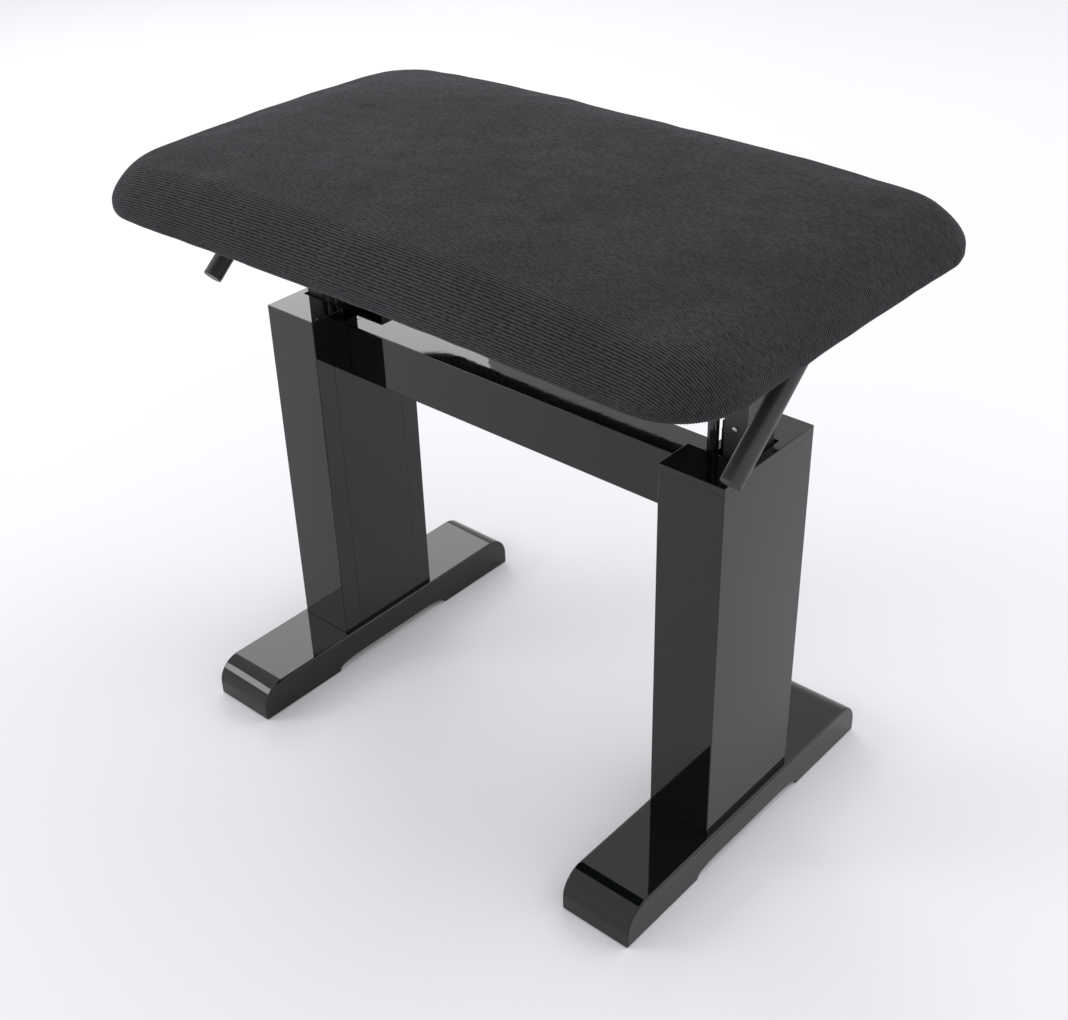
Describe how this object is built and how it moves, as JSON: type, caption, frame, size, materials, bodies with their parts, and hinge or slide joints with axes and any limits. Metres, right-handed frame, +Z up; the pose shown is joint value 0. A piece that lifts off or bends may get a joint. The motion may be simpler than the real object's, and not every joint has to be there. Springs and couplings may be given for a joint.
{
  "type": "piano bench",
  "caption": "Height-adjustable piano bench: upholstered corduroy seat on two lacquered column legs with feet, a stretcher, gas springs and a release lever at each side.",
  "frame": {"origin": "on the floor, midway between the two columns", "axes": "+X along the bench to its right end, +Y from front to back, +Z up"},
  "size_m": [0.563, 0.349, 0.5008],
  "materials": {
    "lacquer": "black polyester lacquer, polished to a mirror",
    "corduroy": "charcoal fine-rib corduroy",
    "black_steel": "satin black paint",
    "grip": "satin black",
    "blackened_rod": "nitrided black, polished",
    "steel": "zinc plated",
    "nylon": "natural",
    "stained_plywood": "stained black"
  },
  "bodies": {
    "stand": {"left_base_block": "stained_plywood", "left_column_back_board": "lacquer", "left_column_cap": "lacquer", "left_column_front_board": "lacquer", "left_column_inner_panel": "lacquer", "left_column_outer_panel": "lacquer", "left_foot": "lacquer", "left_foot_bolt_back": "steel", "left_foot_bolt_front": "steel", "left_gas_gland": "steel", "left_gas_tube": "black_steel", "left_lower_guide": "nylon", "left_stretcher_bolt_high": "steel", "left_stretcher_bolt_low": "steel", "left_upper_guide": "nylon", "right_base_block": "stained_plywood", "right_column_back_board": "lacquer", "right_column_cap": "lacquer", "right_column_front_board": "lacquer", "right_column_inner_panel": "lacquer", "right_column_outer_panel": "lacquer", "right_foot": "lacquer", "right_foot_bolt_back": "steel", "right_foot_bolt_front": "steel", "right_gas_gland": "steel", "right_gas_tube": "black_steel", "right_lower_guide": "nylon", "right_stretcher_bolt_high": "steel", "right_stretcher_bolt_low": "steel", "right_upper_guide": "nylon", "stretcher": "lacquer"},
    "seat": {"seat_board": "stained_plywood", "seat_cushion": "corduroy", "left_bracket": "black_steel", "left_bracket_screw_1": "steel", "left_bracket_screw_2": "steel", "left_bracket_screw_3": "steel", "left_bracket_screw_4": "steel", "left_gas_rod": "blackened_rod", "left_post": "black_steel", "left_post_screw": "steel", "left_rod_nut": "steel", "right_bracket": "black_steel", "right_bracket_screw_1": "steel", "right_bracket_screw_2": "steel", "right_bracket_screw_3": "steel", "right_bracket_screw_4": "steel", "right_gas_rod": "blackened_rod", "right_post": "black_steel", "right_post_screw": "steel", "right_rod_nut": "steel"},
    "left_lever": {"left_lever_bar": "black_steel", "left_lever_grip": "grip", "left_release_cam": "steel"},
    "right_lever": {"right_lever_bar": "black_steel", "right_lever_grip": "grip", "right_release_cam": "steel"},
    "left_pin": {"left_release_pin": "blackened_rod"},
    "right_pin": {"right_release_pin": "blackened_rod"}
  },
  "joints": [
    {"name": "seat_lift", "type": "slide", "parent": "stand", "child": "seat", "axis": [0, 0, 1], "range_m": [-0.03, 0.09]},
    {"name": "left_lever_lift", "type": "hinge", "parent": "seat", "child": "left_lever", "pos_m": [-0.2508, -0.006, 0.441], "axis": [-1, 0, 0], "range_deg": [0, 16], "stiffness_Nm_per_rad": 1, "springref_deg": -6.88},
    {"name": "left_pin_push", "type": "slide", "parent": "seat", "child": "left_pin", "axis": [0, 0, -1], "range_m": [0, 0.0025]},
    {"name": "right_lever_lift", "type": "hinge", "parent": "seat", "child": "right_lever", "pos_m": [0.2508, -0.006, 0.441], "axis": [-1, 0, 0], "range_deg": [0, 16], "stiffness_Nm_per_rad": 1, "springref_deg": -6.88},
    {"name": "right_pin_push", "type": "slide", "parent": "seat", "child": "right_pin", "axis": [0, 0, -1], "range_m": [0, 0.0025]}
  ],
  "couplings": [
    {"joint": "left_pin_push", "follows": "left_lever_lift", "m_per_rad": 0.0085944},
    {"joint": "right_pin_push", "follows": "right_lever_lift", "m_per_rad": 0.0085944}
  ]
}
